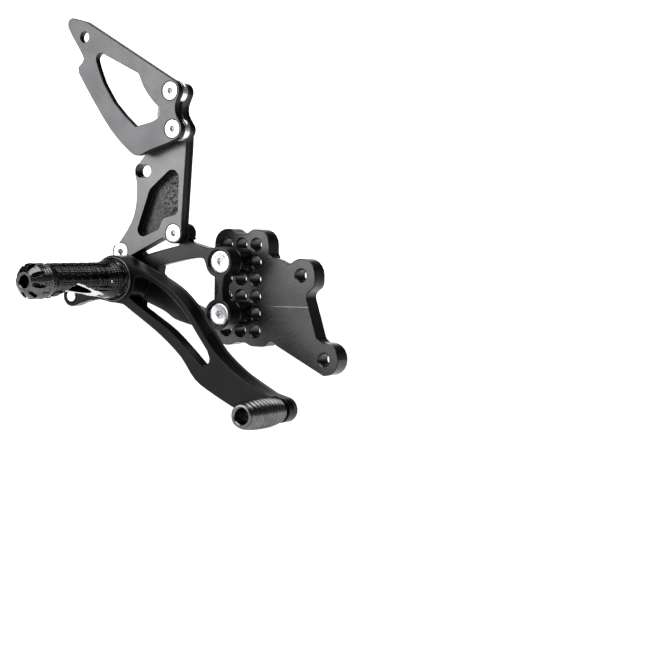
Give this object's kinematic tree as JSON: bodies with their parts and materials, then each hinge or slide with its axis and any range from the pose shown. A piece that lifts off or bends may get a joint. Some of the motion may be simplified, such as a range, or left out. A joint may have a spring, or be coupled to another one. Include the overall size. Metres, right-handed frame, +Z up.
{
  "type": "motorcycle foot peg assembly",
  "caption": "Right-hand motorcycle foot peg on a multi-position bracket, with brake lever, heel guard and adapter plate.",
  "frame": {"origin": "centre of the upper frame bolt hole, on the adapter plate's back face, which meets the motorcycle's frame", "axes": "+X forward on the motorcycle, +Y inboard towards the frame, +Z up; the foot peg points along -Y"},
  "size_m": [0.2041, 0.1698, 0.2845],
  "materials": {
    "black_brushed_plate": "black anodised, fine diagonal brushing",
    "black_matte_machined": "black anodised, satin machined",
    "black_gloss_knurled": "black anodised, glossy, knurled",
    "stainless_steel": "turned stainless steel",
    "bare_aluminium": "bare turned aluminium",
    "seal_rubber": "black moulded rubber"
  },
  "bodies": {
    "rearset": {"adapter_plate": "black_brushed_plate", "main_bracket": "black_matte_machined", "upper_spacer": "black_matte_machined", "lower_spacer": "black_matte_machined", "upper_bracket_screw": "stainless_steel", "lower_bracket_screw": "stainless_steel", "upright_plate": "black_brushed_plate", "upright_front_screw": "stainless_steel", "upright_rear_screw": "stainless_steel", "heel_guard": "black_brushed_plate", "guard_upper_spacer": "bare_aluminium", "guard_lower_spacer": "bare_aluminium", "guard_upper_screw": "stainless_steel", "guard_lower_screw": "stainless_steel", "foot_peg": "black_gloss_knurled", "peg_locating_pin": "stainless_steel", "peg_end_cap": "black_gloss_knurled", "peg_bolt": "stainless_steel", "pivot_sleeve": "stainless_steel", "front_bearing_inner_ring": "stainless_steel", "rear_bearing_inner_ring": "stainless_steel"},
    "brake_lever_body": {"brake_lever": "black_matte_machined", "front_bearing_outer_ring": "stainless_steel", "rear_bearing_outer_ring": "stainless_steel", "front_bearing_seal": "seal_rubber", "rear_bearing_seal": "seal_rubber", "tail_pin": "stainless_steel", "tail_pin_clip": "stainless_steel", "toe_peg": "black_gloss_knurled", "toe_peg_screw": "stainless_steel"}
  },
  "joints": [
    {"name": "brake_lever_pivot", "type": "hinge", "parent": "rearset", "child": "brake_lever_body", "pos_m": [-0.1222, -0.064, -0.0055], "axis": [0, 1, 0], "range_deg": [0, 15]}
  ]
}
